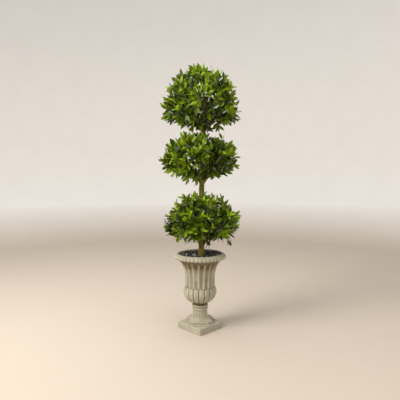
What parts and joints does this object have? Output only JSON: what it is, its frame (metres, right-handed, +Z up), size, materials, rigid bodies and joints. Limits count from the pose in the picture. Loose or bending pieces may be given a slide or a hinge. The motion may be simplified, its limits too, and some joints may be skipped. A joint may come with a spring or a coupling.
{
  "type": "artificial standard bay topiary",
  "caption": "Artificial sweet bay tree with tiers of clipped foliage on one stem, in a fluted, footed urn.",
  "frame": {"origin": "centre of the underside of the urn's square plinth", "axes": "+Z up along the stem, -Y towards the front, where a corner of the plinth points, +X to the right"},
  "size_m": [0.4924, 0.4685, 1.5451],
  "materials": {
    "urn": "cast sandstone look with a brown wash in the hollows, matt",
    "soil": "dark chippings with a few pale ones, rough",
    "bark": "olive brown bark, rough",
    "leaves": "satin green leaves, some fresh and some deep green"
  },
  "bodies": {
    "root": {"urn": "urn", "soil": "soil", "trunk": "bark", "lower_bough_1": "bark", "lower_bough_2": "bark", "lower_bough_3": "bark", "lower_bough_4": "bark", "lower_bough_5": "bark", "lower_bough_6": "bark", "middle_bough_1": "bark", "middle_bough_2": "bark", "middle_bough_3": "bark", "middle_bough_4": "bark", "middle_bough_5": "bark", "middle_bough_6": "bark", "top_bough_1": "bark", "top_bough_2": "bark", "top_bough_3": "bark", "top_bough_4": "bark", "top_bough_5": "bark", "top_bough_6": "bark", "lower_foliage_1": "leaves", "lower_foliage_2": "leaves", "lower_foliage_3": "leaves", "lower_foliage_4": "leaves", "lower_foliage_5": "leaves", "lower_foliage_6": "leaves", "middle_foliage_1": "leaves", "middle_foliage_2": "leaves", "middle_foliage_3": "leaves", "middle_foliage_4": "leaves", "middle_foliage_5": "leaves", "middle_foliage_6": "leaves", "top_foliage_1": "leaves", "top_foliage_2": "leaves", "top_foliage_3": "leaves", "top_foliage_4": "leaves", "top_foliage_5": "leaves", "top_foliage_6": "leaves", "top_foliage_leader": "leaves"}
  },
  "joints": []
}
